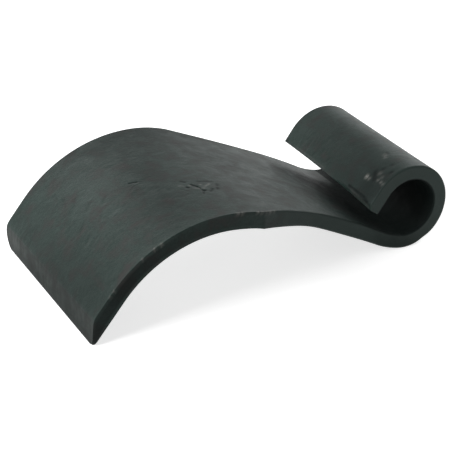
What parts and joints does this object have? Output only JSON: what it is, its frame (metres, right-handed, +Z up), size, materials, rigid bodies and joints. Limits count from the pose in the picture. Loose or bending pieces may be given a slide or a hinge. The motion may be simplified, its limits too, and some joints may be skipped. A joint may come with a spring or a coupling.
{
  "type": "hammer mill knife",
  "caption": "Swinging steel knife bent from flat bar: a rolled open eye for a hinge pin, a narrow neck, and a wide arched blade with square shoulders and a bevelled cutting edge.",
  "frame": {"origin": "centre of the eye's bore, at the middle of the knife's width", "axes": "+Y along the eye's bore, +Z up as the knife lies on its eye and its cutting edge, -X from the eye towards the cutting edge"},
  "size_m": [0.1687, 0.09, 0.0426],
  "materials": {
    "knife_steel": "dark grey-green coating on heat-treated steel, satin, worn along the edges"
  },
  "bodies": {
    "root": {"knife": "knife_steel"}
  },
  "joints": []
}
